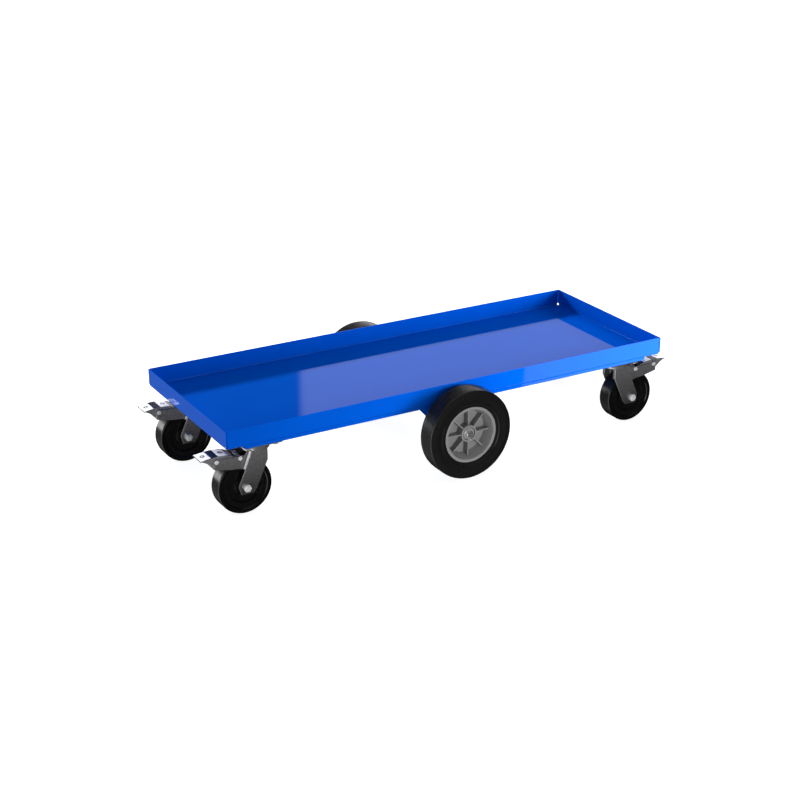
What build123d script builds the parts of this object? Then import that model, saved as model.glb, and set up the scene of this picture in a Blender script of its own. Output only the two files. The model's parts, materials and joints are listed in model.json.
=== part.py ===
from build123d import *
import os
from math import cos, radians, sin, sqrt

# A six-wheeled platform truck: a shallow steel tray on two side rails, a braked swivel
# caster under each corner and one large fixed-axle wheel on each side at mid-length.
# X runs along the tray, Y across it, Z up. The origin is on the floor under its middle.
# Millimetres and degrees throughout.

# ---------------------------------------------------------------- tray and rails
DECK_LENGTH = 1371.6
DECK_WIDTH = 508.0
RIM_HEIGHT = 258.0
LIP_HEIGHT = 50.0
SHEET = 2.5
BEND_RADIUS = 5.0
CORNER_SEAM = 1.8           # open joint between a long lip and the end lip beside it
RELIEF_RADIUS = 3.0         # round bend relief at the foot of each seam
RELIEF_HEIGHT = 3.5         # its middle, above the tray's underside

RAIL_LENGTH = 1264.0
RAIL_WIDTH = 120.0
RAIL_HEIGHT = 10.0
RAIL_SHEET = 3.0
RAIL_INSET = 3.0

# ---------------------------------------------------------------- fixed axle
MAIN_RADIUS = 127.0
MAIN_TRACK = 294.0          # centre plane of a main wheel, from the truck's middle
AXLE_RADIUS = 10.0
AXLE_HALF_LENGTH = 318.0
AXLE_CHAMFER = 1.5
BRACKET_THICKNESS = 6.0
BRACKET_OUTER_Y = 244.0
BRACKET_INNER_Y = 180.0
BRACKET_HALF_TOP = 108.0
BRACKET_HALF_FOOT = 24.0
BRACKET_FOOT_DROP = 21.0    # foot of the slanted cheek below the axle
BRACKET_EYE_RADIUS = 32.0
COLLAR_RADIUS = 18.0
AXLE_WASHER_RADIUS = 16.0
AXLE_WASHER_THICKNESS = 2.5
COTTER_RADIUS = 1.8
COTTER_Y = 313.5
COTTER_EYE_RADIUS = 3.4
COTTER_WIRE = 1.3
COTTER_LEG_LENGTH = 11.0
COTTER_LEG_SPREAD = 32.0

# ---------------------------------------------------------------- main wheels
TYRE_HALF_WIDTH = 31.0
TYRE_BULGE_RADIUS = 110.0   # where the sidewall is widest
TREAD_EDGE_Y = 27.0
TREAD_CROWN = 0.5           # fall of the tread from its middle to its edge
TYRE_SHOULDER_RADIUS = 4.0
RIM_GUARD_RADIUS = 91.0     # low ridge moulded round the sidewall
RIM_GUARD_HEIGHT = 1.6
GROOVE_COUNT = 7
GROOVE_PITCH = 6.5
GROOVE_WIDTH = 1.5
GROOVE_DEPTH = 1.8

HUB_HALF_WIDTH = 26.0
HUB_RING_RADIUS = 79.8
HUB_RING_INNER = 72.0
HUB_SEAT_RADIUS = 76.0
HUB_FLANGE = 4.0
HUB_BOSS_RADIUS = 24.0
HUB_BOSS_BORE = 16.0
HUB_BOSS_FACE_Y = 17.0      # outer end of the boss, from the wheel's centre plane
HUB_BOSS_BACK_Y = -31.0
HUB_RECESS = 4.0
WEB_FACE_Y = -7.0
WEB_THICKNESS = 4.0
WEB_RADIUS = 61.0
RIB_COUNT = 8
RIB_THICKNESS = 3.4
HUB_BEARING_RADIUS = 19.0
HUB_BEARING_WIDTH = 12.0

# ---------------------------------------------------------------- caster top plate
CASTER_X = 576.0            # swivel axis, from the truck's middle
CASTER_Y = 189.4
PLATE_LENGTH = 114.3
PLATE_WIDTH = 110.0
PLATE_THICKNESS = 5.0
PLATE_CORNER_RADIUS = 9.0
PLATE_EDGE_RADIUS = 0.9
BOLT_SPACING_X = 80.0
BOLT_SPACING_Y = 72.0
BOLT_RADIUS = 5.0
BOLT_HEAD_FLATS = 16.0
BOLT_HEAD_HEIGHT = 6.4
BOLT_HEAD_CHAMFER = 1.0
WASHER_RADIUS = 10.0
WASHER_THICKNESS = 2.0
WELD_NUT_HEIGHT = 5.5
SLOT_LENGTH = 16.0
SLOT_PLAY = 0.4
RACE_RADIUS = 33.0
RACE_DEPTH = 8.0
BALL_RING_OUTER = 30.0
BALL_RING_INNER = 20.0
KING_PIN_RADIUS = 8.0
KING_HEAD_RADIUS = 13.0
KING_HEAD_HEIGHT = 5.0
KING_NUT_FLATS = 24.0
KING_NUT_HEIGHT = 9.0
KING_TIP = 2.0

# ---------------------------------------------------------------- caster fork and wheel
# Caster parts are drawn about their swivel axis, with the wheel trailing towards +X.
CASTER_TRAIL = 42.0
CASTER_RADIUS = 76.2
CROWN_TOP = 178.0
CROWN_RADIUS = 37.0
SKIRT_HEIGHT = 8.0
SKIRT_THICKNESS = 3.0
FORK_SHEET = 4.0
FORK_BEND = 10.0            # outer bend radius from crown to leg
LEG_OUTER = 31.0
LEG_BACK = -21.0
LEG_FRONT = 25.0
LEG_STRAIGHT_FOOT = 143.0   # lower end of the leg's upright back edge
FOOT_OUTLINE = ((-29.0, -9.0), (-21.0, -19.2), (14.5, -19.2), (21.0, 4.0), (19.0, 11.0))  # from the axle
LEG_EDGE_RADIUS = 1.4
FLANGE_DEPTH = 6.0
FLARE_REACH = 5.2           # bevelled strip along the leg's front edge
FLARE_LAND = 12.0
FLARE_FOOT = (43.0, 127.0)
FLARE_EDGES = (0.8, 0.4)    # thickness where the bevel ends, and at the strip's own edge
WHEEL_BOLT_RADIUS = 6.0
WHEEL_NUT_FLATS = 19.0
WHEEL_NUT_HEIGHT = 10.0
WHEEL_BOLT_HEAD = 7.5
TREAD_HALF_WIDTH = 23.0
TREAD_SHOULDER = 4.0
CORE_RADIUS = 62.0
CORE_STEPS = ((16.5, 0.0), (17.5, 2.5), (27.0, 3.5), (29.0, 10.0), (45.0, 10.0))  # radius, depth
CORE_BOSS_INSET = 2.5       # boss face below the fork leg
CORE_RIM_INSET = 2.6        # rim face below the tread's side
CORE_RIM_INNER = 47.5
WHEEL_BEARING_RADIUS = 12.5

# ---------------------------------------------------------------- caster brake
PEDAL_PIVOT = (121.0, 163.0)
SHOE_PIVOT = (55.0, 160.0)
PIN_RADIUS = 4.0
PIN_HEAD_RADIUS = 5.8
PIN_HEAD_HEIGHT = 2.2
PIN_HEAD_ROUNDING = 1.4
ARM_THICKNESS = 3.0
ARM_FRONT = 128.0
ARM_STRIP_THICKNESS = 2.5
# Side views, as lengths along the trail and heights.
ARM_OUTLINE = ((4, 131), (4, 165), (112, 167), (120, 171), (128, 165), (128, 143), (86, 134), (45, 130))
ARM_STRIP_HEIGHTS = (143.0, 147.5)
PEDAL_TOP = ((163.2, 172.7), (140, 175.8), (118, 177), (92, 175.2), (74, 169.5))
PEDAL_CHEEK = ((146, 163.5), (132, 151.5), (112, 151.5), (90, 162), (74, 166))
SHOE_TAIL = ((101, 139.5), (112, 147), (124, 147), (124, 150.4), (109, 150.4), (98, 144))
PEDAL_HALF_WIDTH = 24.8
PEDAL_SHEET = 2.5
PEDAL_CHEEK_OUTER = 23.3
CAM_RADIUS = 13.0
CAM_HALF_WIDTH = 10.0
CAM_OFFSET = (7.9, 1.0)     # cam centre from the pedal's pivot
CAM_TOP = 175.5
SHOE_HALF_WIDTH = 16.0
SHOE_THICKNESS = 4.2
SHOE_GAP = 1.9              # shoe to tread when released
SHOE_LUG_RADIUS = 6.5

# ---------------------------------------------------------------- fits
RUNNING_CLEARANCE = 0.05    # radial, shaft in hole on different bodies
FACE_GAP = 0.5              # between facing parts that turn past each other
OVERRUN = 1.0               # how far a cutter runs past the face it cuts

# ---------------------------------------------------------------- derived places
DECK_BOTTOM = RIM_HEIGHT - LIP_HEIGHT
RAIL_BOTTOM = DECK_BOTTOM - RAIL_HEIGHT
RAIL_OUTER_Y = DECK_WIDTH / 2 - RAIL_INSET
RAIL_INNER_Y = RAIL_OUTER_Y - RAIL_WIDTH
WELD_NUT_TOP = RAIL_BOTTOM + RAIL_SHEET + WELD_NUT_HEIGHT
HUB_INNER_FACE = MAIN_TRACK + HUB_BOSS_BACK_Y
HUB_BOSS_FACE = MAIN_TRACK + HUB_BOSS_FACE_Y
COLLAR_END = HUB_INNER_FACE - AXLE_WASHER_THICKNESS - FACE_GAP
PLATE_BOTTOM = RAIL_BOTTOM - PLATE_THICKNESS
CROWN_BOTTOM = CROWN_TOP - FORK_SHEET
LEG_INNER = LEG_OUTER - FORK_SHEET
ARM_OUTER = LEG_INNER
ARM_INNER = ARM_OUTER - ARM_THICKNESS
WHEEL_CENTRE = (CASTER_TRAIL, CASTER_RADIUS)
LEG_FOOT = CASTER_RADIUS + min(up for _, up in FOOT_OUTLINE)

CORNERS = {
    "front_left": (1, 1),
    "front_right": (1, -1),
    "rear_left": (-1, 1),
    "rear_right": (-1, -1),
}
SIDES = {"left": 1, "right": -1}
BOTH = (-1, 1)


# ---------------------------------------------------------------- helpers
def block(x_range, y_range, z_range):
    """Box between pairs of coordinates."""
    sizes = [high - low for low, high in (x_range, y_range, z_range)]
    middles = [(high + low) / 2 for low, high in (x_range, y_range, z_range)]
    return Pos(*middles) * Box(*sizes)


def upright(radius, z_range, at=(0, 0)):
    """Cylinder along Z."""
    low, high = z_range
    return Pos(at[0], at[1], (low + high) / 2) * Cylinder(radius, high - low)


def crosswise(radius, y_range, at=(0, 0)):
    """Cylinder along Y, at is its (x, z)."""
    low, high = y_range
    return Pos(at[0], (low + high) / 2, at[1]) * Rot(90, 0, 0) * Cylinder(radius, high - low)


def bore(radius, at):
    """Cutter along Y through everything on a caster."""
    return crosswise(radius, (-2 * LEG_OUTER, 2 * LEG_OUTER), at)


def side_plate(outline, y_range):
    """Flat plate standing along X, cut to an outline of (x, z) points."""
    low, high = y_range
    face = make_face(Polyline(*[(x, low, z) for x, z in outline], close=True))
    return extrude(face, amount=high - low, dir=(0, 1, 0))


def turned(profile):
    """Solid of revolution about Y from (radius, y) points."""
    face = make_face(Polyline(*[(r, y, 0) for r, y in profile], close=True))
    return revolve(face, axis=Axis.Y)


def symmetric(half_profile):
    """Completes a (radius, y) outline whose given half lies at +Y."""
    return half_profile + [(radius, -y) for radius, y in reversed(half_profile)]


def circles(shape, radius):
    """The circular edges of that radius."""
    return ShapeList(
        [edge for edge in shape.edges().filter_by(GeomType.CIRCLE) if abs(edge.radius - radius) < 0.01]
    )


def bottom_edges(shape):
    return shape.faces().sort_by(Axis.Z)[0].edges()


def hexagon(across_flats, y_range, at=(0, 0)):
    """Hexagonal bar along Y."""
    corner = across_flats / sqrt(3)
    turns = [radians(60 * index) for index in range(6)]
    points = [(at[0] + corner * cos(turn), at[1] + corner * sin(turn)) for turn in turns]
    return side_plate(points, y_range)


def upright_hexagon(across_flats, z_range, at=(0, 0)):
    low, high = z_range
    prism = extrude(RegularPolygon(across_flats / 2, 6, major_radius=False), amount=high - low)
    return Pos(at[0], at[1], low) * prism


def mirrored_y(shape):
    return mirror(shape, about=Plane.XZ)


def both_sides(shape):
    return shape + mirrored_y(shape)


def at_corner(shape, corner):
    """Puts a caster part at a corner, with its wheel trailing outwards."""
    outward, side = CORNERS[corner]
    if outward < 0:
        shape = mirror(shape, about=Plane.YZ)
    return Pos(outward * CASTER_X, side * CASTER_Y, 0) * shape


def on_axle(shape, side):
    """Puts a main-wheel part, drawn about the Y axis with its outer face at +Y, in place."""
    if side < 0:
        shape = mirrored_y(shape)
    return Pos(0, side * MAIN_TRACK, MAIN_RADIUS) * shape


def write(name, shape):
    """Writes one node; a list becomes a group of separate solids."""
    if isinstance(shape, list):
        shape = Compound(children=[solid for piece in shape for solid in piece.solids()])
    export_step(shape, f"parts/{name}.step")


# ---------------------------------------------------------------- tray and rails
def corner_opening(along, across):
    """Seam down the end of a long lip, and the round bend relief at its foot."""
    end = DECK_LENGTH / 2 - SHEET
    middle = DECK_BOTTOM + RELIEF_HEIGHT
    seam = block(
        sorted((along * end, along * (end - CORNER_SEAM))),
        sorted((across * (DECK_WIDTH / 2 - SHEET - OVERRUN), across * (DECK_WIDTH / 2 + OVERRUN))),
        (middle, RIM_HEIGHT + OVERRUN),
    )
    inward = SHEET / 2
    relief = Cylinder(RELIEF_RADIUS, 8 * SHEET)
    relief = Rot(0, 0, along * across * 45) * Rot(0, 90, 0) * relief
    corner = Pos(along * (DECK_LENGTH / 2 - inward), across * (DECK_WIDTH / 2 - inward), middle)
    return seam + corner * relief


def deck_tray():
    """One sheet folded up on all four sides."""
    outer = block(
        (-DECK_LENGTH / 2, DECK_LENGTH / 2),
        (-DECK_WIDTH / 2, DECK_WIDTH / 2),
        (DECK_BOTTOM, RIM_HEIGHT),
    )
    inner = block(
        (-DECK_LENGTH / 2 + SHEET, DECK_LENGTH / 2 - SHEET),
        (-DECK_WIDTH / 2 + SHEET, DECK_WIDTH / 2 - SHEET),
        (DECK_BOTTOM + SHEET, RIM_HEIGHT + OVERRUN),
    )
    pan = fillet(bottom_edges(outer), BEND_RADIUS) - fillet(bottom_edges(inner), BEND_RADIUS - SHEET)
    for along in BOTH:
        for across in BOTH:
            pan -= corner_opening(along, across)
    return pan


def bolt_places():
    """Centres of the four bolts of one caster plate, from its swivel axis."""
    return [
        (along * BOLT_SPACING_X / 2, across * BOLT_SPACING_Y / 2)
        for along in BOTH
        for across in BOTH
    ]


def all_bolt_places():
    return [
        (outward * CASTER_X + x, side * CASTER_Y + y)
        for outward, side in CORNERS.values()
        for x, y in bolt_places()
    ]


def side_rail(side):
    """Shallow channel under the deck, open upwards, with weld nuts for the caster bolts."""
    half = RAIL_LENGTH / 2
    rail = block((-half, half), (RAIL_INNER_Y, RAIL_OUTER_Y), (RAIL_BOTTOM, DECK_BOTTOM))
    rail = fillet(bottom_edges(rail).filter_by(Axis.X), RAIL_SHEET)
    rail -= block(
        (-half + RAIL_SHEET, half - RAIL_SHEET),
        (RAIL_INNER_Y + RAIL_SHEET, RAIL_OUTER_Y - RAIL_SHEET),
        (RAIL_BOTTOM + RAIL_SHEET, DECK_BOTTOM),
    )
    for x, y in all_bolt_places():
        if y > 0:
            rail += upright_hexagon(BOLT_HEAD_FLATS, (RAIL_BOTTOM + RAIL_SHEET, WELD_NUT_TOP), (x, y))
            rail -= upright(BOLT_RADIUS, (RAIL_BOTTOM - OVERRUN, WELD_NUT_TOP + OVERRUN), (x, y))
    return rail if side > 0 else mirrored_y(rail)


def caster_bolt(x, y):
    """Hexagon bolt from below, with its washer formed on, threaded into the rail's weld nut."""
    washer_bottom = PLATE_BOTTOM - WASHER_THICKNESS
    head_range = (washer_bottom - BOLT_HEAD_HEIGHT, washer_bottom)
    head = upright_hexagon(BOLT_HEAD_FLATS, head_range, (x, y))
    head = chamfer(bottom_edges(head), BOLT_HEAD_CHAMFER)
    flange = upright(WASHER_RADIUS, (washer_bottom, PLATE_BOTTOM), (x, y))
    return head + flange + upright(BOLT_RADIUS, (PLATE_BOTTOM, WELD_NUT_TOP), (x, y))


# ---------------------------------------------------------------- fixed axle
def axle_bracket(side):
    """Inverted channel welded under the rail: two tapered cheeks, an eye in each, a collar."""
    foot = MAIN_RADIUS - BRACKET_FOOT_DROP
    cheek = [
        (-BRACKET_HALF_TOP, RAIL_BOTTOM),
        (-BRACKET_HALF_FOOT, foot),
        (BRACKET_HALF_FOOT, foot),
        (BRACKET_HALF_TOP, RAIL_BOTTOM),
    ]
    bracket = side_plate(cheek, (BRACKET_INNER_Y, BRACKET_OUTER_Y))
    bracket -= block(
        (-BRACKET_HALF_TOP, BRACKET_HALF_TOP),
        (BRACKET_INNER_Y + BRACKET_THICKNESS, BRACKET_OUTER_Y - BRACKET_THICKNESS),
        (foot - OVERRUN, RAIL_BOTTOM - BRACKET_THICKNESS),
    )
    centre = (0, MAIN_RADIUS)
    for low in (BRACKET_INNER_Y, BRACKET_OUTER_Y - BRACKET_THICKNESS):
        bracket += crosswise(BRACKET_EYE_RADIUS, (low, low + BRACKET_THICKNESS), centre)
    bracket += crosswise(COLLAR_RADIUS, (BRACKET_OUTER_Y, COLLAR_END), centre)
    hole_range = (BRACKET_INNER_Y - OVERRUN, COLLAR_END + OVERRUN)
    bracket -= crosswise(AXLE_RADIUS + RUNNING_CLEARANCE, hole_range, centre)
    return bracket if side > 0 else mirrored_y(bracket)


def axle_shaft():
    shaft = crosswise(AXLE_RADIUS, (-AXLE_HALF_LENGTH, AXLE_HALF_LENGTH), (0, MAIN_RADIUS))
    shaft = chamfer(circles(shaft, AXLE_RADIUS), AXLE_CHAMFER)
    hole_range = (MAIN_RADIUS - 2 * AXLE_RADIUS, MAIN_RADIUS + 2 * AXLE_RADIUS)
    for side in SIDES.values():
        shaft -= upright(COTTER_RADIUS, hole_range, (0, side * COTTER_Y))
    return shaft


def axle_washers():
    """A plain washer each side of both hubs."""
    washers = []
    for inner in (
        HUB_INNER_FACE - FACE_GAP - AXLE_WASHER_THICKNESS,
        HUB_BOSS_FACE - HUB_RECESS + FACE_GAP,
    ):
        y_range = (inner, inner + AXLE_WASHER_THICKNESS)
        washer = crosswise(AXLE_WASHER_RADIUS, y_range, (0, MAIN_RADIUS))
        washer -= crosswise(AXLE_RADIUS, y_range, (0, MAIN_RADIUS))
        washers += [washer, mirrored_y(washer)]
    return washers


def cotter_pin(side):
    """Split pin through the axle end: its eye on top, its two legs bent apart below."""
    middle_y = side * COTTER_Y
    top = MAIN_RADIUS + AXLE_RADIUS + COTTER_WIRE
    bottom = MAIN_RADIUS - AXLE_RADIUS - COTTER_WIRE
    pin = upright(COTTER_RADIUS, (bottom, top), (0, middle_y))
    eye = Rot(90, 0, 0) * Torus(COTTER_EYE_RADIUS, COTTER_WIRE)
    pin += Pos(0, middle_y, top + COTTER_EYE_RADIUS) * eye
    pin += Pos(0, middle_y, bottom) * Sphere(COTTER_RADIUS)
    for turn in BOTH:
        leg = Pos(0, 0, -COTTER_LEG_LENGTH / 2) * Cylinder(COTTER_WIRE, COTTER_LEG_LENGTH)
        pin += Pos(0, middle_y, bottom) * Rot(0, turn * COTTER_LEG_SPREAD, 0) * leg
    return pin


# ---------------------------------------------------------------- main wheels
def groove(middle_y):
    """Cutter for one V-shaped groove round the tread."""
    floor = MAIN_RADIUS - TREAD_CROWN - GROOVE_DEPTH
    lip = MAIN_RADIUS + OVERRUN
    return turned([
        (lip, middle_y - GROOVE_WIDTH / 2),
        (floor, middle_y - GROOVE_WIDTH / 4),
        (floor, middle_y + GROOVE_WIDTH / 4),
        (lip, middle_y + GROOVE_WIDTH / 2),
    ])


def tyre(side):
    """Solid tyre locked between the hub's two flanges."""
    seat_y = HUB_HALF_WIDTH - HUB_FLANGE
    edge_radius = MAIN_RADIUS - TREAD_CROWN
    guard = RIM_GUARD_RADIUS
    body = turned(symmetric([
        (HUB_SEAT_RADIUS, seat_y),
        (HUB_RING_RADIUS, seat_y),
        (HUB_RING_RADIUS, HUB_HALF_WIDTH),
        (TYRE_BULGE_RADIUS, TYRE_HALF_WIDTH),
        (edge_radius, TREAD_EDGE_Y),
        (MAIN_RADIUS, TREAD_EDGE_Y / 2),
    ]))
    body = fillet(circles(body, edge_radius), TYRE_SHOULDER_RADIUS)
    ridge_y = HUB_HALF_WIDTH + RIM_GUARD_HEIGHT
    body += turned(symmetric([
        (guard - 4, seat_y),
        (guard - 3, ridge_y),
        (guard - 1, ridge_y + RIM_GUARD_HEIGHT),
        (guard + 1, ridge_y + RIM_GUARD_HEIGHT),
        (guard + 4, seat_y),
    ]))
    for index in range(GROOVE_COUNT):
        body -= groove((index - (GROOVE_COUNT - 1) / 2) * GROOVE_PITCH)
    return on_axle(body, side)


def hub_rib():
    """One rib through the web, from the boss to the conical wall, standing along +Z."""
    inner = HUB_BOSS_RADIUS - 3
    outer = WEB_RADIUS + 4
    back = WEB_FACE_Y - WEB_THICKNESS
    rib = side_plate(
        [
            (inner, HUB_BOSS_FACE_Y - 2.5),
            (outer, HUB_BOSS_FACE_Y - 6),
            (WEB_RADIUS, WEB_FACE_Y),
            (WEB_RADIUS, back),
            (outer, 5 - HUB_HALF_WIDTH),
            (inner, 3 - HUB_HALF_WIDTH),
        ],
        (-RIB_THICKNESS / 2, RIB_THICKNESS / 2),
    )
    # Drawn as (radius, height) in XZ, then laid over so that its height runs along Y.
    return Rot(-90, 0, 0) * rib


def hub(side):
    """Moulded hub: ring, conical wall, web with ribs on both faces, and a stepped boss."""
    half = HUB_HALF_WIDTH
    seat_y = half - HUB_FLANGE
    back = WEB_FACE_Y - WEB_THICKNESS
    body = turned([
        (HUB_RING_RADIUS, half - 0.8), (HUB_RING_RADIUS, seat_y), (HUB_SEAT_RADIUS, seat_y),
        (HUB_SEAT_RADIUS, -seat_y), (HUB_RING_RADIUS, -seat_y), (HUB_RING_RADIUS, -half),
        (HUB_RING_INNER, -half), (WEB_RADIUS + 5, back), (HUB_BOSS_RADIUS - 4, back),
        (HUB_BOSS_RADIUS - 4, WEB_FACE_Y), (WEB_RADIUS, WEB_FACE_Y),
        (HUB_RING_INNER - 0.6, half - 0.8), (HUB_RING_INNER + 0.6, half), (HUB_RING_RADIUS - 0.8, half),
    ])
    boss = crosswise(HUB_BOSS_RADIUS, (HUB_BOSS_BACK_Y, HUB_BOSS_FACE_Y))
    body += chamfer(circles(boss, HUB_BOSS_RADIUS), 0.8)
    for index in range(RIB_COUNT):
        body += Rot(0, 360 / RIB_COUNT * index, 0) * hub_rib()
    outer_seat = HUB_BOSS_FACE_Y - HUB_RECESS - HUB_BEARING_WIDTH
    body -= crosswise(HUB_BOSS_BORE, (HUB_BOSS_BACK_Y - OVERRUN, HUB_BOSS_FACE_Y + OVERRUN))
    body -= crosswise(HUB_BEARING_RADIUS, (outer_seat, HUB_BOSS_FACE_Y + OVERRUN))
    body -= crosswise(
        HUB_BEARING_RADIUS, (HUB_BOSS_BACK_Y - OVERRUN, HUB_BOSS_BACK_Y + HUB_BEARING_WIDTH)
    )
    return on_axle(body, side)


def hub_bearings(side):
    """The ball bearing in each end of the hub, as a closed ring."""
    rings = []
    for low in (HUB_BOSS_FACE_Y - HUB_RECESS - HUB_BEARING_WIDTH, HUB_BOSS_BACK_Y):
        y_range = (low, low + HUB_BEARING_WIDTH)
        bearing = crosswise(HUB_BEARING_RADIUS, y_range)
        bearing -= crosswise(AXLE_RADIUS + RUNNING_CLEARANCE, y_range)
        rings.append(on_axle(bearing, side))
    return rings


# ---------------------------------------------------------------- casters: swivel head
def caster_plate():
    """Top plate with four slotted holes and the swivel head's upper race."""
    plate = block(
        (-PLATE_LENGTH / 2, PLATE_LENGTH / 2),
        (-PLATE_WIDTH / 2, PLATE_WIDTH / 2),
        (PLATE_BOTTOM, RAIL_BOTTOM),
    )
    plate = fillet(plate.edges().filter_by(Axis.Z), PLATE_CORNER_RADIUS)
    plate = fillet(bottom_edges(plate), PLATE_EDGE_RADIUS)
    for x, y in bolt_places():
        slot = SlotOverall(SLOT_LENGTH, 2 * BOLT_RADIUS + SLOT_PLAY)
        plate -= Pos(x, y, PLATE_BOTTOM - OVERRUN) * extrude(slot, amount=PLATE_THICKNESS + 2 * OVERRUN)
    race = upright(RACE_RADIUS, (PLATE_BOTTOM - RACE_DEPTH, PLATE_BOTTOM))
    plate += fillet(bottom_edges(race), 2.0)
    plate -= upright(KING_PIN_RADIUS, (PLATE_BOTTOM - RACE_DEPTH - OVERRUN, RAIL_BOTTOM + OVERRUN))
    plate -= upright(KING_HEAD_RADIUS, (RAIL_BOTTOM - KING_HEAD_HEIGHT, RAIL_BOTTOM + OVERRUN))
    return plate


def king_pin():
    """Bolt down the swivel axis and its nut under the crown."""
    nut_top = CROWN_BOTTOM - FACE_GAP
    nut_range = (nut_top - KING_NUT_HEIGHT, nut_top)
    head_bottom = RAIL_BOTTOM - KING_HEAD_HEIGHT
    pin = upright(KING_HEAD_RADIUS, (head_bottom, RAIL_BOTTOM))
    pin += upright(KING_PIN_RADIUS, (nut_range[0] - KING_TIP, head_bottom))
    nut = upright_hexagon(KING_NUT_FLATS, nut_range)
    nut = chamfer(bottom_edges(nut), 1.5)
    nut -= upright(KING_PIN_RADIUS, nut_range)
    return [pin, nut]


def swivel_bearing():
    """The ball ring between crown and plate, as one closed ring on the crown."""
    z_range = (CROWN_TOP, PLATE_BOTTOM - RACE_DEPTH - FACE_GAP)
    return upright(BALL_RING_OUTER, z_range) - upright(BALL_RING_INNER, z_range)


# ---------------------------------------------------------------- casters: fork
def leg_outline():
    """Side view of the fork: upright at the back, tapered to a six-sided foot."""
    axle_x, axle_z = WHEEL_CENTRE
    return [
        (LEG_BACK, CROWN_TOP),
        (LEG_BACK, LEG_STRAIGHT_FOOT),
        *[(axle_x + along, axle_z + up) for along, up in FOOT_OUTLINE],
        FLARE_FOOT,
        (LEG_FRONT, CROWN_BOTTOM),
        (LEG_FRONT, CROWN_TOP),
    ]


def bent_channel():
    """Inverted U-section that both legs and the crown are cut from, open below."""
    x_range = (LEG_BACK, CASTER_TRAIL + LEG_FRONT)
    outer = block(x_range, (-LEG_OUTER, LEG_OUTER), (LEG_FOOT, CROWN_TOP))
    outer = fillet(outer.faces().sort_by(Axis.Z)[-1].edges().filter_by(Axis.X), FORK_BEND)
    inner = block(x_range, (-LEG_INNER, LEG_INNER), (LEG_FOOT - OVERRUN, CROWN_BOTTOM))
    inner = fillet(
        inner.faces().sort_by(Axis.Z)[-1].edges().filter_by(Axis.X), FORK_BEND - FORK_SHEET
    )
    return outer - inner


def outer_edges(body):
    """The cut edges of the channel's outer skin, without the lines where its bends begin."""
    cut_edges = [edge for edge in body.edges() if abs(edge.tangent_at(0.5).X) < 0.999 or edge.center().Z < 140]
    return ShapeList([
        edge for edge in cut_edges
        if abs(edge.center().Y) > LEG_INNER + OVERRUN or edge.center().Z > CROWN_BOTTOM + OVERRUN
    ])


def leg_flare():
    """Bevelled strip that runs down the +Y leg's front edge onto the brake arm."""
    top = Vector(LEG_FRONT, 0, CROWN_BOTTOM)
    foot = Vector(FLARE_FOOT[0], 0, FLARE_FOOT[1])
    along = (top - foot).normalized()
    across = Vector(0, 1, 0).cross(along)
    section = [
        (0, LEG_OUTER),
        (FLARE_REACH, LEG_INNER + FLARE_EDGES[0]),
        (FLARE_LAND, LEG_INNER + FLARE_EDGES[1]),
        (FLARE_LAND, LEG_INNER),
        (0, LEG_INNER),
    ]
    points = [foot + across * reach + Vector(0, y, 0) for reach, y in section]
    return extrude(make_face(Polyline(*points, close=True)), amount=(top - foot).length, dir=along)


def fork():
    """Crown with a dust skirt, two legs with softened edges, flanges and front flares."""
    body = bent_channel() & side_plate(leg_outline(), (-LEG_OUTER - OVERRUN, LEG_OUTER + OVERRUN))
    body = fillet(outer_edges(body), LEG_EDGE_RADIUS)
    flange = block(
        (LEG_BACK, LEG_BACK + FORK_SHEET),
        (LEG_INNER - FLANGE_DEPTH, LEG_INNER),
        (LEG_STRAIGHT_FOOT, CROWN_TOP - FORK_BEND),
    )
    body += both_sides(flange) + both_sides(leg_flare())
    body += upright(CROWN_RADIUS, (CROWN_BOTTOM, CROWN_TOP))
    skirt_range = (CROWN_TOP, CROWN_TOP + SKIRT_HEIGHT)
    body += upright(CROWN_RADIUS, skirt_range) - upright(CROWN_RADIUS - SKIRT_THICKNESS, skirt_range)
    hole_range = (CROWN_BOTTOM - OVERRUN, CROWN_TOP + OVERRUN)
    body -= upright(KING_PIN_RADIUS + RUNNING_CLEARANCE, hole_range)
    return body - bore(WHEEL_BOLT_RADIUS, WHEEL_CENTRE)


# ---------------------------------------------------------------- casters: wheel
def wheel_place(shape):
    return Pos(WHEEL_CENTRE[0], 0, WHEEL_CENTRE[1]) * shape


def wheel_tread():
    half = TREAD_HALF_WIDTH
    body = turned(symmetric([(CORE_RADIUS, half - 2), (CORE_RADIUS + 2, half), (CASTER_RADIUS, half)]))
    return wheel_place(fillet(circles(body, CASTER_RADIUS), TREAD_SHOULDER))


def wheel_core():
    """Dished core with a stepped boss."""
    rim_y = TREAD_HALF_WIDTH - CORE_RIM_INSET
    boss_y = LEG_INNER - CORE_BOSS_INSET
    return wheel_place(turned(symmetric([
        (WHEEL_BEARING_RADIUS, boss_y),
        *[(radius, boss_y - depth) for radius, depth in CORE_STEPS],
        (CORE_RIM_INNER, rim_y),
        (CORE_RADIUS - 1, rim_y),
        (CORE_RADIUS, rim_y - 1),
    ])))


def wheel_bearing():
    """Roller bearing with its inner bush, as a plain sleeve."""
    y_range = (FACE_GAP - LEG_INNER, LEG_INNER - FACE_GAP)
    sleeve = crosswise(WHEEL_BEARING_RADIUS, y_range)
    return wheel_place(sleeve - crosswise(WHEEL_BOLT_RADIUS + RUNNING_CLEARANCE, y_range))


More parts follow.
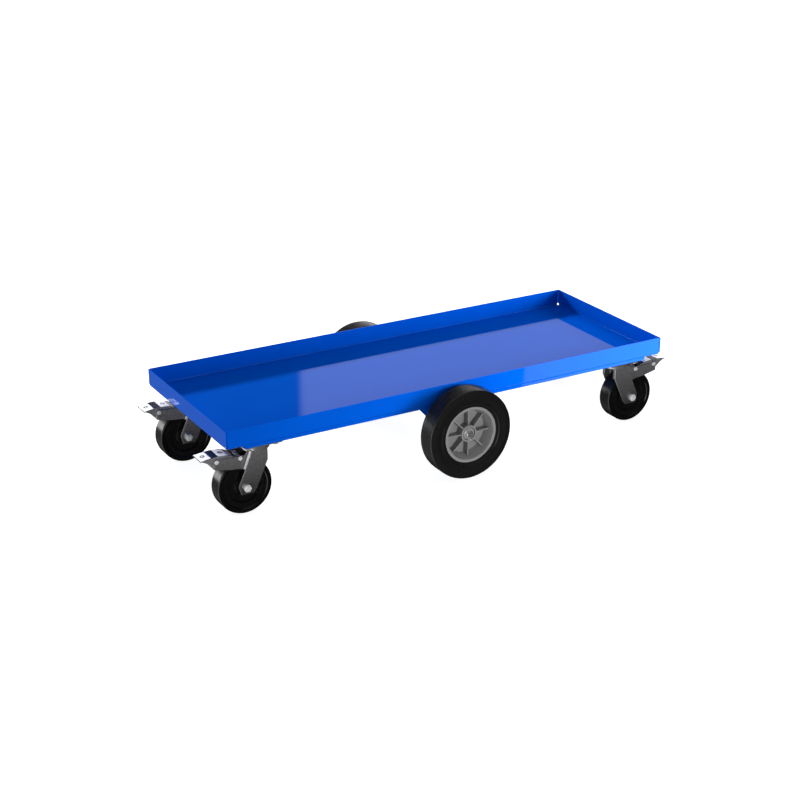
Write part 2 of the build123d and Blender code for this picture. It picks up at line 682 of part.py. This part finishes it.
def wheel_bolt():
    """Axle bolt, head on the left leg, and its lock nut on the right one."""
    nut_range = (-LEG_OUTER - WHEEL_NUT_HEIGHT, -LEG_OUTER)
    shank = crosswise(WHEEL_BOLT_RADIUS, (nut_range[0] - 2.0, LEG_OUTER))
    head = hexagon(WHEEL_NUT_FLATS, (LEG_OUTER, LEG_OUTER + WHEEL_BOLT_HEAD))
    head = chamfer(head.faces().sort_by(Axis.Y)[-1].edges(), 1.2)
    nut = hexagon(WHEEL_NUT_FLATS, nut_range)
    nut = chamfer(nut.faces().sort_by(Axis.Y)[0].edges(), 1.2)
    nut -= crosswise(WHEEL_BOLT_RADIUS, nut_range)
    return [wheel_place(shank + head), wheel_place(nut)]


# ---------------------------------------------------------------- casters: brake
def brake_bracket():
    """Two side arms from the fork legs, joined by a cross strip at their front ends."""
    arm = side_plate(ARM_OUTLINE, (ARM_INNER, ARM_OUTER))
    strip = block((ARM_FRONT - ARM_STRIP_THICKNESS, ARM_FRONT), (-ARM_INNER, ARM_INNER), ARM_STRIP_HEIGHTS)
    return both_sides(arm) + strip - bore(PIN_RADIUS, PEDAL_PIVOT) - bore(PIN_RADIUS, SHOE_PIVOT)


def brake_pin(pivot):
    """Riveted pin with a domed head outside each arm."""
    head = crosswise(PIN_HEAD_RADIUS, (ARM_OUTER, ARM_OUTER + PIN_HEAD_HEIGHT), pivot)
    head = fillet(head.faces().sort_by(Axis.Y)[-1].edges(), PIN_HEAD_ROUNDING)
    return both_sides(head) + crosswise(PIN_RADIUS, (-ARM_OUTER, ARM_OUTER), pivot)


def brake_pedal():
    """Rocker pedal: a crowned top plate, two tapered cheeks and an eccentric cam."""
    under = [(x, z - PEDAL_SHEET) for x, z in reversed(PEDAL_TOP)]
    plate = side_plate([*PEDAL_TOP, *under], (-PEDAL_HALF_WIDTH, PEDAL_HALF_WIDTH))
    into_plate = [(x, z - PEDAL_SHEET / 2) for x, z in reversed(PEDAL_TOP[1:])]
    cheek_outline = [PEDAL_TOP[0], *PEDAL_CHEEK, *into_plate]
    cheek = side_plate(cheek_outline, (PEDAL_CHEEK_OUTER - PEDAL_SHEET, PEDAL_CHEEK_OUTER))
    cam_range = (-CAM_HALF_WIDTH, CAM_HALF_WIDTH)
    cam = crosswise(CAM_RADIUS, cam_range, (PEDAL_PIVOT[0] + CAM_OFFSET[0], PEDAL_PIVOT[1] + CAM_OFFSET[1]))
    cam &= block((0, 2 * PEDAL_PIVOT[0]), cam_range, (LEG_FOOT, CAM_TOP))
    return plate + both_sides(cheek) + cam - bore(PIN_RADIUS + RUNNING_CLEARANCE, PEDAL_PIVOT)


def over_wheel(radius, x):
    """Point above the caster wheel at a radius from its axle, on the shoe's near side face."""
    drop = x - CASTER_TRAIL
    return (x, -SHOE_HALF_WIDTH, CASTER_RADIUS + sqrt(radius ** 2 - drop ** 2))


def brake_shoe():
    """Curved shoe over the tread, hung on its own pin, with a tail under the pedal's cam."""
    pad = CASTER_RADIUS + SHOE_GAP
    back = pad + SHOE_THICKNESS
    lower = ThreePointArc(over_wheel(pad, 50), over_wheel(pad, 70), over_wheel(pad, 90))
    upper = ThreePointArc(over_wheel(back, 86), over_wheel(back, 68), over_wheel(back, 50))
    tail = [(x, -SHOE_HALF_WIDTH, z) for x, z in SHOE_TAIL]
    tail = Polyline(over_wheel(pad, 90), *tail, over_wheel(back, 86))
    closing = Line(over_wheel(back, 50), over_wheel(pad, 50))
    body = extrude(make_face(lower + tail + upper + closing), amount=2 * SHOE_HALF_WIDTH, dir=(0, 1, 0))
    y_range = (-SHOE_HALF_WIDTH, SHOE_HALF_WIDTH)
    pivot_x, pivot_z = SHOE_PIVOT
    body += crosswise(SHOE_LUG_RADIUS, y_range, SHOE_PIVOT)
    body += block((pivot_x - 5, pivot_x + 6), y_range, (over_wheel(pad + 2, pivot_x)[2], pivot_z))
    return body - bore(PIN_RADIUS + RUNNING_CLEARANCE, SHOE_PIVOT)


# ---------------------------------------------------------------- writing the nodes
CASTER_PARTS = {
    "caster_plate": caster_plate,
    "swivel_bearing": swivel_bearing,
    "fork": fork,
    "wheel_tread": wheel_tread,
    "wheel_core": wheel_core,
    "wheel_bearing": wheel_bearing,
    "wheel_bolt": wheel_bolt,
    "brake_bracket": brake_bracket,
    "brake_pins": lambda: [brake_pin(PEDAL_PIVOT), brake_pin(SHOE_PIVOT)],
    "brake_pedal": brake_pedal,
    "brake_shoe": brake_shoe,
}
SIDE_PARTS = {
    "side_rail": side_rail,
    "axle_bracket": axle_bracket,
    "tyre": tyre,
    "hub": hub,
    "hub_bearings": hub_bearings,
}


def write_casters():
    for name, make in CASTER_PARTS.items():
        made = make()
        pieces = made if isinstance(made, list) else [made]
        for corner in CORNERS:
            write(f"{name}_{corner}", [at_corner(piece, corner) for piece in pieces])


def main():
    os.makedirs("parts", exist_ok=True)
    write("deck_tray", deck_tray())
    write("axle_shaft", axle_shaft())
    write("axle_washers", axle_washers())
    write("cotter_pins", [cotter_pin(side) for side in SIDES.values()])
    write("caster_bolts", [caster_bolt(x, y) for x, y in all_bolt_places()])
    write("king_pins", [at_corner(piece, corner) for corner in CORNERS for piece in king_pin()])
    for name, make in SIDE_PARTS.items():
        for side_name, side in SIDES.items():
            write(f"{name}_{side_name}", make(side))
    write_casters()


main()
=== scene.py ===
import json
import math

import bmesh
import bpy
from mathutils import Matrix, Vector
from mathutils.bvhtree import BVHTree


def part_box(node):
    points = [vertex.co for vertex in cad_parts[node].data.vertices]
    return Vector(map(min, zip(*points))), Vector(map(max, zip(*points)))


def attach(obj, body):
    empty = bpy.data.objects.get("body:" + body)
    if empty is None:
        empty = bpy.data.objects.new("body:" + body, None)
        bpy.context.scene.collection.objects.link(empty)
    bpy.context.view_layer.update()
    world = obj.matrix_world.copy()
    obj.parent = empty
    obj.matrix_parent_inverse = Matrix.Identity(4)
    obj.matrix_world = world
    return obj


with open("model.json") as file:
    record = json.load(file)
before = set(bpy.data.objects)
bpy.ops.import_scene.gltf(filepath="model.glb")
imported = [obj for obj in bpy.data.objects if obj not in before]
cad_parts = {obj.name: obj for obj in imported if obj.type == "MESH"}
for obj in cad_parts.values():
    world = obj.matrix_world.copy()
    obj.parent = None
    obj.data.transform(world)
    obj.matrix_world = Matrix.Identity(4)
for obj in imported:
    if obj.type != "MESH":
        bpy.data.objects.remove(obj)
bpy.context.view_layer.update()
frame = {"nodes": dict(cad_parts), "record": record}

NODE_SLOT = {row["node"]: row["material_slot"] for row in frame["record"]["subparts"]}
SIDES = ("left", "right")
CORNERS = ("front_left", "front_right", "rear_left", "rear_right")


# ------------------------------------------------------------------ materials
# Lengths and relief heights are in metres, noise scales in cycles per metre.
PAINT_BLUES = ((0.0, 0.083, 0.56), (0.0, 0.096, 0.62))
PAINT_ROUGHNESS = (0.006, 0.016)
PEEL_RELIEF = 0.000006
DRAWN_LINE_RELIEF = 0.000012
RUBBER_RELIEF = 0.00003
MOULDED_RELIEF = 0.00002
METAL_EDGE = 0.0009                 # how far a sharp edge looks rounded
MOULDED_EDGE = 0.001
# Painted shade: zinc is darkened towards the ground between these heights, with a ragged edge.
GROUND_SHADE_HEIGHTS = (0.075, 0.175)     # above the ground, from fully shaded to unshaded, for the painted shade on zinc
GROUND_SHADE_RAGGEDNESS = 0.02


class Nodes:
    """A material's node tree, with short calls to add and join nodes."""

    def __init__(self, name):
        self.material = bpy.data.materials.new(name)
        self.material.use_nodes = True
        self.tree = self.material.node_tree
        self.shader = self.tree.nodes["Principled BSDF"]
        self.place = self.add("ShaderNodeTexCoord").outputs["Object"]

    def add(self, kind, **settings):
        """New node of a kind, with its own settings."""
        node = self.tree.nodes.new(kind)
        for key, value in settings.items():
            setattr(node, key, value)
        return node

    def join(self, source, target):
        """Link from one socket to another."""
        self.tree.links.new(source, target)

    def noise(self, scale, detail=4.0, stretch=(1, 1, 1)):
        """Noise texture value, finer along an axis that is stretched more."""
        mapping = self.add("ShaderNodeMapping")
        mapping.inputs["Scale"].default_value = stretch
        self.join(self.place, mapping.inputs["Vector"])
        texture = self.add("ShaderNodeTexNoise")
        texture.inputs["Scale"].default_value = scale
        texture.inputs["Detail"].default_value = detail
        self.join(mapping.outputs["Vector"], texture.inputs["Vector"])
        return texture.outputs["Fac"]

    def spread(self, value, low, high, start=0.3, stop=0.7):
        """Maps a value from the range start to stop onto low to high."""
        node = self.add("ShaderNodeMapRange")
        for key, number in (("From Min", start), ("From Max", stop), ("To Min", low), ("To Max", high)):
            node.inputs[key].default_value = number
        self.join(value, node.inputs["Value"])
        return node.outputs["Result"]

    def height(self, wobble, amount):
        """Height above the ground, made uneven by a 0 to 1 value."""
        axes = self.add("ShaderNodeSeparateXYZ")
        self.join(self.place, axes.inputs["Vector"])
        moved = self.add("ShaderNodeMath", operation="MULTIPLY_ADD")
        self.join(wobble, moved.inputs[0])
        moved.inputs[1].default_value = amount
        self.join(axes.outputs["Z"], moved.inputs[2])
        return moved.outputs["Value"]

    def mix(self, factor, first, second):
        """Mixes two colours, given as colours or sockets."""
        node = self.add("ShaderNodeMix", data_type="RGBA")
        self.join(factor, node.inputs["Factor"])
        for value, socket in ((first, node.inputs[6]), (second, node.inputs[7])):
            if isinstance(value, bpy.types.NodeSocket):
                self.join(value, socket)
            else:
                socket.default_value = (*value, 1.0)
        return node.outputs[2]

    def bump(self, height, distance, edge=0.0):
        """Surface relief of this height, with edges softened to a radius."""
        node = self.add("ShaderNodeBump")
        node.inputs["Distance"].default_value = distance
        self.join(height, node.inputs["Height"])
        if edge:
            soft = self.add("ShaderNodeBevel", samples=6)
            soft.inputs["Radius"].default_value = edge
            self.join(soft.outputs["Normal"], node.inputs["Normal"])
        return node.outputs["Normal"]

    def set(self, **values):
        """Sets constants on the shader itself."""
        names = {"metallic": "Metallic", "ior": "IOR", "specular": "Specular IOR Level"}
        for key, value in values.items():
            self.shader.inputs[names[key]].default_value = value
        return self

    def finish(self, color, roughness, normal=None):
        """Joins the shader's inputs and returns the material."""
        self.join(color, self.shader.inputs["Base Color"])
        self.join(roughness, self.shader.inputs["Roughness"])
        if normal is not None:
            self.join(normal, self.shader.inputs["Normal"])
        return self.material


def powder_paint():
    """Glossy blue powder coat with a faint orange peel."""
    made = Nodes("blue_powder_coat").set(ior=1.5)
    color = made.mix(made.noise(9.0, 3.0), *PAINT_BLUES)
    roughness = made.spread(made.noise(30.0, 5.0), *PAINT_ROUGHNESS)
    peel = made.bump(made.noise(700.0, 2.0), PEEL_RELIEF)
    return made.finish(color, roughness, peel)


def zinc(name, light, dark, rough_low, rough_high, metallic=0.75, ground_shade=0.0):
    """Mottled bright metal with fine drawn lines and, if asked, a painted shade that darkens it towards the
    ground.
    """
    made = Nodes(name).set(metallic=metallic)
    color = made.mix(made.noise(120.0, 5.0), light, dark)
    # Painted shade: the colour is darkened towards the ground, standing in for shade near the floor.
    if ground_shade:
        height = made.height(made.noise(35.0, 5.0), GROUND_SHADE_RAGGEDNESS)
        unshaded = made.spread(height, 0.0, 1.0, *GROUND_SHADE_HEIGHTS)
        painted_shade_color = tuple(channel * (1.0 - ground_shade) for channel in dark)
        color = made.mix(unshaded, painted_shade_color, color)
    roughness = made.spread(made.noise(180.0, 6.0, stretch=(1, 1, 6)), rough_low, rough_high)
    lines = made.bump(made.noise(300.0, 3.0, stretch=(1, 1, 0.15)), DRAWN_LINE_RELIEF, METAL_EDGE)
    return made.finish(color, roughness, lines)


def rubber(name, low, high, rough_low, rough_high, grain):
    """Near-black rubber with a fine grain."""
    made = Nodes(name).set(specular=0.4)
    color = made.mix(made.noise(40.0, 6.0), (low,) * 3, (high,) * 3)
    roughness = made.spread(made.noise(90.0, 5.0), rough_low, rough_high)
    return made.finish(color, roughness, made.bump(made.noise(grain, 3.0), RUBBER_RELIEF, MOULDED_EDGE))


def plastic(name, low, high, rough_low, rough_high):
    """Moulded grey or black plastic."""
    made = Nodes(name).set(ior=1.48)
    color = made.mix(made.noise(25.0, 4.0), (low,) * 3, (high,) * 3)
    roughness = made.spread(made.noise(120.0, 5.0), rough_low, rough_high)
    return made.finish(color, roughness, made.bump(made.noise(1500.0, 2.0), MOULDED_RELIEF, MOULDED_EDGE))


def enamel(name, light, dark, rough_low, rough_high):
    """Painted patch, faintly scuffed."""
    made = Nodes(name).set(ior=1.5)
    color = made.mix(made.spread(made.noise(260.0, 6.0), 0.0, 1.0, 0.35, 0.75), light, dark)
    roughness = made.spread(made.noise(400.0, 5.0), rough_low, rough_high)
    return made.finish(color, roughness, made.bump(made.noise(900.0, 3.0), MOULDED_RELIEF))


MATERIALS = {
    "blue_paint": powder_paint(),
    # The zinc plate carries a painted shade, darker towards the ground.
    "zinc_steel": zinc("zinc_plate", (0.46, 0.45, 0.465), (0.385, 0.38, 0.39), 0.24, 0.36, ground_shade=0.6),
    "bright_fastener": zinc("bright_zinc", (0.80, 0.80, 0.81), (0.62, 0.62, 0.63), 0.16, 0.28, metallic=0.5),
    "axle_steel": zinc("ground_steel", (0.55, 0.55, 0.56), (0.45, 0.45, 0.46), 0.2, 0.3),
    "bearing_steel": zinc("bearing_steel", (0.70, 0.70, 0.70), (0.60, 0.60, 0.60), 0.12, 0.2, metallic=0.6),
    "tyre_rubber": rubber("tyre_rubber", 0.008, 0.012, 0.26, 0.38, 1200.0),
    "hub_plastic": plastic("hub_plastic", 0.125, 0.15, 0.42, 0.52),
    "wheel_rubber": rubber("wheel_rubber", 0.003, 0.005, 0.16, 0.26, 1400.0),
    "wheel_plastic": plastic("wheel_plastic", 0.004, 0.006, 0.2, 0.3),
    "pedal_steel": zinc("pedal_steel", (0.66, 0.66, 0.68), (0.56, 0.56, 0.58), 0.2, 0.3),
}


def dress_cad_nodes():
    """Gives every carried-over CAD node its slot's material."""
    for name, node in frame["nodes"].items():
        node.data.materials.clear()
        node.data.materials.append(MATERIALS[NODE_SLOT[name]])


def linked(name, data):
    """New object in the scene."""
    made = bpy.data.objects.new(name, data)
    bpy.context.scene.collection.objects.link(made)
    return made


# ------------------------------------------------------------------ pedal markings
# Lengths in metres. The two ends of each patch are measured back from the pedal's tip.
WHITE_PATCHES = ((0.0012, 0.0285), (0.0500, 0.0765))
NAVY_PATCHES = ((0.0297, 0.0488), (0.0777, 0.0885))
PATCH_HALF_WIDTH = 0.0232
PATCH_RAISE = 0.0004
PATCH_SINK = 0.0003
PATCH_CELLS = (10, 12)
MARK_RADII = (0.0062, 0.0032)       # plain ring printed in each white patch, outer and inner
MARK_RAISE = 0.00064
MARK_SIDES = 28
SEARCH_START = 0.02                 # how far above the pedal the search for its surface starts
PATCH_ENAMEL = {
    "white": enamel("white_enamel", (0.95, 0.95, 0.97), (0.78, 0.79, 0.82), 0.25, 0.4),
    "navy": enamel("navy_enamel", (0.008, 0.009, 0.022), (0.014, 0.015, 0.034), 0.25, 0.4),
}


def new_piece(name, build, material, body):
    """Object from a mesh that build(shape) makes, riding on a body."""
    mesh = bpy.data.meshes.new(name)
    shape = bmesh.new()
    build(shape)
    bmesh.ops.recalc_face_normals(shape, faces=shape.faces)
    shape.to_mesh(mesh)
    shape.free()
    mesh.materials.append(material)
    piece = linked(name, mesh)
    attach(piece, body)
    return piece


class PedalTop:
    """The top of one brake pedal: where its tip and middle are, and how high its surface is."""

    def __init__(self, corner):
        node = "brake_pedal_" + corner
        low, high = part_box(node)
        self.inward = -1 if corner.startswith("front") else 1
        self.tip = high.x if self.inward < 0 else low.x
        self.middle = (low.y + high.y) / 2
        self.top = high.z
        self.tree = BVHTree.FromObject(frame["nodes"][node], bpy.context.evaluated_depsgraph_get())

    def along(self, distance):
        """X of a place this far behind the tip."""
        return self.tip + self.inward * distance

    def place(self, x, y, lift):
        """Point on the surface, or a little above or below it."""
        surface = self.tree.ray_cast(Vector((x, y, self.top + SEARCH_START)), Vector((0, 0, -1)))[0].z
        return (x, y, surface + lift)


def patch(shape, pedal, start, stop):
    """Thin closed pad that follows the pedal's surface from start to stop behind its tip."""
    rows, columns = PATCH_CELLS
    layers = []
    for lift in (PATCH_RAISE, -PATCH_SINK):
        layer = []
        for i in range(rows + 1):
            x = pedal.along(start + (stop - start) * i / rows)
            across = [pedal.middle + PATCH_HALF_WIDTH * (2 * j / columns - 1) for j in range(columns + 1)]
            layer.append([shape.verts.new(pedal.place(x, y, lift)) for y in across])
        layers.append(layer)
    upper, lower = layers
    for layer in layers:
        for i in range(rows):
            for j in range(columns):
                shape.faces.new((layer[i][j], layer[i + 1][j], layer[i + 1][j + 1], layer[i][j + 1]))
    for i in range(rows):
        for j in (0, columns):
            shape.faces.new((upper[i][j], upper[i + 1][j], lower[i + 1][j], lower[i][j]))
    for j in range(columns):
        for i in (0, rows):
            shape.faces.new((upper[i][j], upper[i][j + 1], lower[i][j + 1], lower[i][j]))


def ring_mark(shape, pedal, distance):
    """Thin closed ring printed over the middle of a white patch."""
    outer, inner = MARK_RADII
    loops = []
    for radius, lift in ((outer, MARK_RAISE), (inner, MARK_RAISE), (inner, PATCH_SINK), (outer, PATCH_SINK)):
        loop = []
        for i in range(MARK_SIDES):
            angle = 2 * math.pi * i / MARK_SIDES
            x = pedal.along(distance) + radius * math.cos(angle)
            y = pedal.middle + radius * math.sin(angle)
            loop.append(shape.verts.new(pedal.place(x, y, lift)))
        loops.append(loop)
    for first, second in zip(loops, loops[1:] + loops[:1]):
        for i in range(MARK_SIDES):
            k = (i + 1) % MARK_SIDES
            shape.faces.new((first[i], first[k], second[k], second[i]))


def pedal_markings(corner):
    """White and navy patches along the top of one brake pedal, with a navy ring in each white one."""
    pedal = PedalTop(corner)

    def white(shape):
        for start, stop in WHITE_PATCHES:
            patch(shape, pedal, start, stop)

    def navy(shape):
        for start, stop in NAVY_PATCHES:
            patch(shape, pedal, start, stop)
        for start, stop in WHITE_PATCHES:
            ring_mark(shape, pedal, (start + stop) / 2)

    return [
        new_piece(f"pedal_{kind}_{corner}", build, PATCH_ENAMEL[kind], "pedal_" + corner)
        for kind, build in (("white", white), ("navy", navy))
    ]


# ------------------------------------------------------------------ stage
TARGET = Vector((-0.035, 0.0, 0.122))
CAMERA_AZIMUTH = -30.07
CAMERA_ELEVATION = 22.26
CAMERA_DISTANCE = 4.665
CAMERA_LENS = 74.1
SENSOR_WIDTH = 36.0
FLOOR_HALF = 60.0
FLOOR_GREYS = ((0.38, 0.38, 0.38), (0.40, 0.40, 0.40))
FLOOR_GLOW = (0.92, 1.02)           # lower close to the object, so that its shadow just shows
FLOOR_GLOW_REACH = (0.7, 2.0)       # metres from the middle
WORLD_BASE = 0.012
# Panels of light at infinity. Azimuth in degrees from behind (+Y) towards the right (+X), elevation
# above the horizon, how many degrees each edge takes to fade, and brightness.
PANELS = (
    dict(azimuth=(26.35, 85), elevation=(13, 55), fade=(0.3, 6), light=(0.53, 0.53, 0.55)),
    dict(azimuth=(-70, -18), elevation=(-3, 12), fade=(8, 3), light=(4.5, 4.5, 4.5)),
    dict(azimuth=(-18, 60), elevation=(-1, 11), fade=(8, 3), light=(2.6, 2.45, 2.5)),
    dict(azimuth=(-200, 200), elevation=(50, 120), fade=(1, 12), light=(0.55, 0.55, 0.55)),
    dict(azimuth=(-138, -60), elevation=(-60, 10), fade=(12, 12), light=(1.6, 1.6, 1.6)),
    dict(azimuth=(-60, 0), elevation=(-60, -7), fade=(8, 3), light=(0.15, 0.15, 0.15)),
)
MIDDLE = (0, 0, 0.2)
LIP_RIGHT = (0.4, -0.25, 0.2)
SIDE_HUB = (0, 0, 0.127)
# Soft lamps, in metres. One that names the pieces it lights leaves the rest dark, as a small
# reflector would, and only a glossy one shows in reflections.
LAMPS = (
    dict(name="back_high", place=(0.0, 3.4, 1.55), aim=MIDDLE, size=(3.6, 0.35), radiance=64.0),
    dict(name="below", place=(0.2, -2.2, -1.7), aim=MIDDLE, size=(1.6, 1.6), radiance=2.2),
    dict(name="front", place=(0.5, -3.2, 0.4), aim=MIDDLE, size=(1.6, 1.6), radiance=2.4),
    dict(name="left", place=(-3.0, 0.1, 0.9), aim=MIDDLE, size=(1.6, 1.6), radiance=0.4),
    dict(name="right_end", place=(1.25, -1.2, 0.34), aim=LIP_RIGHT, size=(0.6, 0.6), radiance=42.0,
         only="body"),
    dict(name="lip_sheen", place=(1.62, -1.25, -0.3), aim=LIP_RIGHT, size=(1.2, 1.6), radiance=0.95,
         only="body", glossy=True),
    dict(name="gear_front", place=(1.3, -2.8, 1.4), aim=MIDDLE, size=(1.6, 1.6), radiance=2.9, only="gear"),
    dict(name="gear_left", place=(-2.0, -2.8, 0.35), aim=MIDDLE, size=(1.5, 1.0), radiance=2.4, only="gear",
         glossy=True),
    dict(name="fastener_front", place=(-0.6, -2.6, 0.7), aim=MIDDLE, size=(0.8, 0.8), radiance=22.0,
         only="fasteners"),
    dict(name="hub_front", place=(0.05, -2.6, 0.25), aim=SIDE_HUB, size=(0.9, 0.9), radiance=20.0,
         only="hubs"),
    dict(name="pedal_front", place=(2.6, -0.5, 0.9), aim=MIDDLE, size=(0.8, 0.8), radiance=27.0,
         only="markings"),
    dict(name="hub_rear", place=(-0.05, 2.6, 0.25), aim=SIDE_HUB, size=(0.9, 0.9), radiance=20.0,
         only="hubs"),
    dict(name="pedal_rear", place=(-2.6, -0.5, 0.9), aim=MIDDLE, size=(0.8, 0.8), radiance=27.0,
         only="markings"),
)


def away(azimuth, elevation):
    """Unit vector from the object towards a place, azimuth 0 being the front (-Y) and +90 the right (+X)."""
    turn, rise = math.radians(azimuth), math.radians(elevation)
    return Vector((math.sin(turn) * math.cos(rise), -math.cos(turn) * math.cos(rise), math.sin(rise)))


def aimed(made, place, aim):
    """Puts an object somewhere and points it at its aim."""
    made.location = place
    made.rotation_euler = (Vector(aim) - Vector(place)).to_track_quat("-Z", "Y").to_euler()
    return made


def camera():
    """Camera at the reference photograph's angle."""
    data = bpy.data.cameras.new("camera")
    data.lens = CAMERA_LENS
    data.sensor_width = SENSOR_WIDTH
    made = linked("camera", data)
    aimed(made, TARGET + away(CAMERA_AZIMUTH, CAMERA_ELEVATION) * CAMERA_DISTANCE, TARGET)
    bpy.context.scene.camera = made


def floor():
    """Plain pale floor that turns up far away, reads as white and takes only a faint soft shadow."""
    mesh = bpy.data.meshes.new("floor")
    square = ((-1, -1), (1, -1), (1, 1), (-1, 1))
    places = [(FLOOR_HALF * x, FLOOR_HALF * y, height) for height in (0, FLOOR_HALF) for x, y in square]
    walls = [(k, (k + 1) % 4, (k + 1) % 4 + 4, k + 4) for k in range(4)]
    mesh.from_pydata(places, [], [(0, 1, 2, 3)] + walls)
    made = linked("floor", mesh)
    shade = Nodes("floor")
    color = shade.mix(shade.noise(0.6, 2.0), *FLOOR_GREYS)
    mesh.materials.append(shade.finish(color, shade.spread(shade.noise(2.0), 0.7, 0.8)))
    shade.shader.inputs["Emission Color"].default_value = (1, 1, 1, 1)
    reach = shade.add("ShaderNodeVectorMath", operation="LENGTH")
    shade.join(shade.place, reach.inputs[0])
    glow = shade.spread(reach.outputs["Value"], *FLOOR_GLOW, *FLOOR_GLOW_REACH)
    shade.join(glow, shade.shader.inputs["Emission Strength"])
    made.visible_glossy = False
    made.visible_diffuse = False
    made.visible_shadow = False


def softbox(name, place, aim, size, radiance, glossy, only):
    """Rectangular lamp of an even brightness, lighting everything or only some pieces."""
    data = bpy.data.lights.new(name, "AREA")
    data.shape = "RECTANGLE"
    data.size, data.size_y = size
    data.energy = radiance * math.pi * size[0] * size[1]
    made = aimed(linked(name, data), place, aim)
    made.visible_glossy = glossy
    if only:
        lit = bpy.data.collections.new(name)
        for piece in only:
            lit.objects.link(piece)
        made.light_linking.receiver_collection = lit


class Sky:
    """World shader: a dim base with soft-edged panels, placed by direction."""

    def __init__(self):
        self.world = bpy.data.worlds.new("studio")
        self.world.use_nodes = True
        self.tree = self.world.node_tree
        self.background = self.tree.nodes["Background"]
        place = self.tree.nodes.new("ShaderNodeTexCoord").outputs["Generated"]
        axes = self.tree.nodes.new("ShaderNodeSeparateXYZ")
        self.tree.links.new(place, axes.inputs["Vector"])
        self.azimuth = self.math("ARCTAN2", axes.outputs["X"], axes.outputs["Y"])
        self.elevation = self.math("ARCSINE", axes.outputs["Z"])

    def math(self, kind, *values):
        """Result of a sum on numbers or sockets."""
        node = self.tree.nodes.new("ShaderNodeMath")
        node.operation = kind
        for value, socket in zip(values, node.inputs):
            if isinstance(value, bpy.types.NodeSocket):
                self.tree.links.new(value, socket)
            else:
                socket.default_value = value
        return node.outputs["Value"]

    def step(self, angle, edge, fade):
        """0 before the edge and 1 after it, over fade degrees; a negative fade falls instead."""
        node = self.tree.nodes.new("ShaderNodeMapRange")
        node.interpolation_type = "SMOOTHSTEP"
        low, high = math.radians(edge - abs(fade) / 2), math.radians(edge + abs(fade) / 2)
        node.inputs["From Min"].default_value = low
        node.inputs["From Max"].default_value = high
        node.inputs["To Min"].default_value = float(fade < 0)
        node.inputs["To Max"].default_value = float(fade > 0)
        self.tree.links.new(angle, node.inputs["Value"])
        return node.outputs["Result"]

    def panel(self, azimuth, elevation, fade, light):
        """Colour of one panel, black outside its edges."""
        across = self.math("MULTIPLY", self.step(self.azimuth, azimuth[0], fade[0]),
                           self.step(self.azimuth, azimuth[1], -fade[0]))
        up = self.math("MULTIPLY", self.step(self.elevation, elevation[0], fade[1]),
                       self.step(self.elevation, elevation[1], -fade[1]))
        shape = self.math("MULTIPLY", across, up)
        scaled = self.tree.nodes.new("ShaderNodeVectorMath")
        scaled.operation = "SCALE"
        scaled.inputs[0].default_value = light
        self.tree.links.new(shape, scaled.inputs["Scale"])
        return scaled.outputs["Vector"]

    def finish(self, base, panels):
        """Adds the panels to the dim base and puts the world in the scene."""
        total = (base,) * 3
        for row in panels:
            added = self.tree.nodes.new("ShaderNodeVectorMath")
            added.operation = "ADD"
            if isinstance(total, tuple):
                added.inputs[0].default_value = total
            else:
                self.tree.links.new(total, added.inputs[0])
            self.tree.links.new(self.panel(**row), added.inputs[1])
            total = added.outputs["Vector"]
        self.tree.links.new(total, self.background.inputs["Color"])
        bpy.context.scene.world = self.world


def lights(markings):
    """Every lamp in the table, and the groups of pieces that some of them are kept to."""
    nodes = frame["nodes"]
    body = [nodes["deck_tray"]] + [nodes["side_rail_" + side] for side in SIDES]
    groups = {
        "body": body,
        "gear": [node for node in nodes.values() if node not in body],
        "hubs": [nodes["hub_" + side] for side in SIDES],
        "fasteners": [node for name, node in nodes.items() if name.startswith(("wheel_bolt", "brake_pins"))],
        "markings": markings,
    }
    for lamp in LAMPS:
        softbox(lamp["name"], lamp["place"], lamp["aim"], lamp["size"], lamp["radiance"],
                glossy=lamp.get("glossy", False), only=groups.get(lamp.get("only")))


def stage(markings):
    """Camera, floor, sky and lamps."""
    bpy.context.scene.view_settings.view_transform = "Standard"
    camera()
    floor()
    Sky().finish(WORLD_BASE, PANELS)
    lights(markings)


# ------------------------------------------------------------------ the scene
dress_cad_nodes()
stage([piece for corner in CORNERS for piece in pedal_markings(corner)])
